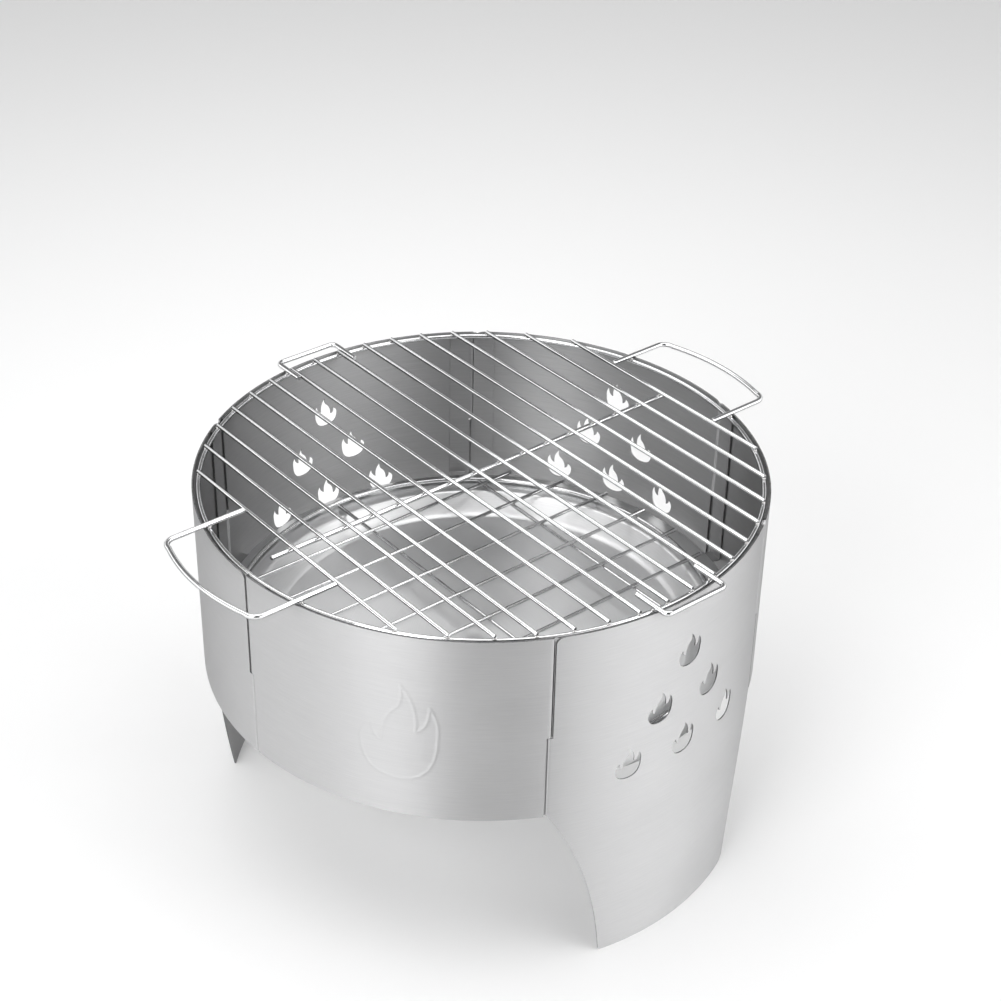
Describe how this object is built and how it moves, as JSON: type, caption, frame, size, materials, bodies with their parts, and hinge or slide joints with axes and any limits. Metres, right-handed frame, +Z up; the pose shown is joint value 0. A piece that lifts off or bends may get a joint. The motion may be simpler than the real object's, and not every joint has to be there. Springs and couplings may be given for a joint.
{
  "type": "portable tabletop grill",
  "caption": "Round take-down charcoal grill of slotted stainless panels with leg panels, ash pan, charcoal grate and handled wire cooking grate.",
  "frame": {"origin": "on the table under the middle of the body", "axes": "+Z up; +X and -X through the two wire handles; the cooking bars run along Y; -Y is the side of the wide front leg panel"},
  "size_m": [0.3836, 0.344, 0.2343],
  "materials": {
    "brushed_panel": "brushed stainless sheet with a fine grain round the body",
    "polished_pan": "pressed stainless, polished, with faint turned rings",
    "grate_wire": "bright chromed wire with weld marks at the crossings"
  },
  "bodies": {
    "shell": {"left_front_panel": "brushed_panel", "right_front_panel": "brushed_panel", "back_panel": "brushed_panel"},
    "front_leg": {"front_leg_panel": "brushed_panel"},
    "right_leg": {"right_leg_panel": "brushed_panel"},
    "left_leg": {"left_leg_panel": "brushed_panel"},
    "ash_pan": {"ash_pan": "polished_pan"},
    "charcoal_grate": {"charcoal_ring": "grate_wire", "charcoal_bar_01": "grate_wire", "charcoal_bar_02": "grate_wire", "charcoal_bar_03": "grate_wire", "charcoal_bar_04": "grate_wire", "charcoal_bar_05": "grate_wire", "charcoal_bar_06": "grate_wire", "charcoal_bar_07": "grate_wire", "charcoal_bar_08": "grate_wire", "charcoal_cross_wire_1": "grate_wire", "charcoal_cross_wire_2": "grate_wire", "charcoal_cross_wire_3": "grate_wire"},
    "cooking_grate": {"cooking_ring": "grate_wire", "cooking_bar_01": "grate_wire", "cooking_bar_02": "grate_wire", "cooking_bar_03": "grate_wire", "cooking_bar_04": "grate_wire", "cooking_bar_05": "grate_wire", "cooking_bar_06": "grate_wire", "cooking_bar_07": "grate_wire", "cooking_bar_08": "grate_wire", "cooking_bar_09": "grate_wire", "cooking_bar_10": "grate_wire", "cooking_bar_11": "grate_wire", "cooking_bar_12": "grate_wire", "cooking_bar_13": "grate_wire", "cooking_bar_14": "grate_wire", "cooking_bar_15": "grate_wire", "cooking_bar_16": "grate_wire", "cooking_cross_wire": "grate_wire", "left_handle": "grate_wire", "right_handle": "grate_wire", "front_tab_loop": "grate_wire", "back_tab_loop": "grate_wire"}
  },
  "joints": [
    {"name": "front_leg_slide", "type": "slide", "parent": "shell", "child": "front_leg", "axis": [0, 0, -1], "range_m": [0, 0.064]},
    {"name": "right_leg_slide", "type": "slide", "parent": "shell", "child": "right_leg", "axis": [0, 0, -1], "range_m": [0, 0.064]},
    {"name": "left_leg_slide", "type": "slide", "parent": "shell", "child": "left_leg", "axis": [0, 0, -1], "range_m": [0, 0.064]},
    {"name": "ash_pan_lift", "type": "slide", "parent": "shell", "child": "ash_pan", "axis": [0, 0, 1], "range_m": [0, 0.04]},
    {"name": "charcoal_grate_lift", "type": "slide", "parent": "ash_pan", "child": "charcoal_grate", "axis": [0, 0, 1], "range_m": [0, 0.05]},
    {"name": "cooking_grate_lift", "type": "slide", "parent": "shell", "child": "cooking_grate", "axis": [0, 0, 1], "range_m": [0, 0.15]}
  ]
}
